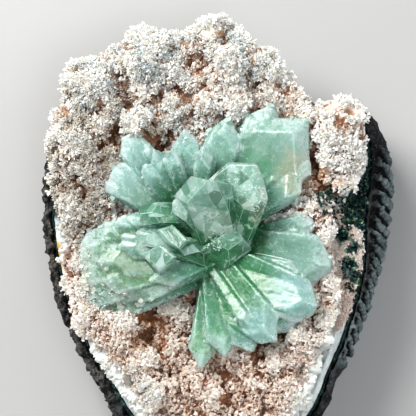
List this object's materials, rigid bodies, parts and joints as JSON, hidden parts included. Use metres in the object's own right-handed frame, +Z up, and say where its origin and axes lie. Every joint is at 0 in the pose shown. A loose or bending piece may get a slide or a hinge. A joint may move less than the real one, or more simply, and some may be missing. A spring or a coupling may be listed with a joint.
{
  "type": "apophyllite in geode",
  "caption": "Half of a dark basalt geode lying on its back, lined with pale druse, with a fan of green apophyllite blades in the middle.",
  "frame": {"origin": "middle of the object's box, on the flat underside it rests on", "axes": "+Z up out of the open side of the geode, +Y along its length towards the tall druse lumps, +X towards the ribbed wall"},
  "size_m": [0.1268, 0.1578, 0.06],
  "materials": {
    "basalt": "dark grey-black, rough and pitted, with faint glints",
    "celadonite": "dark teal-green, earthy and finely crystalline",
    "chalcedony": "bluish white, waxy, slightly translucent",
    "druse": "cream to pinkish brown, sparkling with tiny crystals",
    "apophyllite": "mint green, glassy and milky, paler towards the tips"
  },
  "bodies": {
    "root": {"basalt_matrix": "basalt", "celadonite_seam": "celadonite", "chalcedony_lining": "chalcedony", "druse_crust": "druse", "apophyllite_cluster": "apophyllite"}
  },
  "joints": []
}
